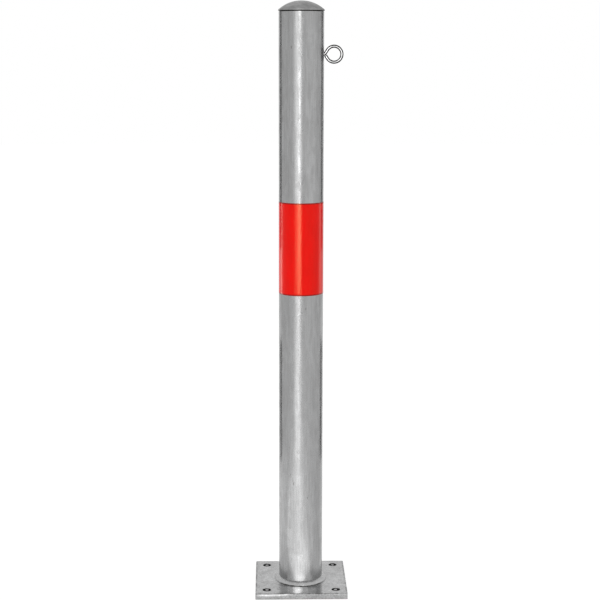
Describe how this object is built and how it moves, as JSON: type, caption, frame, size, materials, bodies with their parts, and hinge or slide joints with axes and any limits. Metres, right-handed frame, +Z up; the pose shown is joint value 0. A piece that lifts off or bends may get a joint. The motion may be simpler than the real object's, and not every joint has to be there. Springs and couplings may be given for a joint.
{
  "type": "barrier post",
  "caption": "Galvanised steel tube barrier post on a square base plate for bolting down, with domed cap, side chain eye and red reflective band.",
  "frame": {"origin": "centre of the base plate's underside, on the ground", "axes": "+Z up along the tube, +X towards the chain eye, the base plate's sides along X and Y"},
  "size_m": [0.16, 0.16, 1.018],
  "materials": {
    "galvanised_tube": "hot-dip galvanised, soft satin sheen with upright draw marks",
    "galvanised_plate": "hot-dip galvanised, mottled satin",
    "weld_bead": "rippled weld bead under the zinc coat",
    "cast_cap": "pressure cast, matt grey",
    "bright_zinc": "electroplated zinc, bright",
    "reflective_film": "glossy red reflective film"
  },
  "bodies": {
    "root": {"tube": "galvanised_tube", "base_plate": "galvanised_plate", "base_weld": "weld_bead", "dome_cap": "cast_cap", "eye_bolt": "bright_zinc", "eye_washer": "bright_zinc", "eye_nut": "bright_zinc", "reflective_band": "reflective_film"}
  },
  "joints": []
}
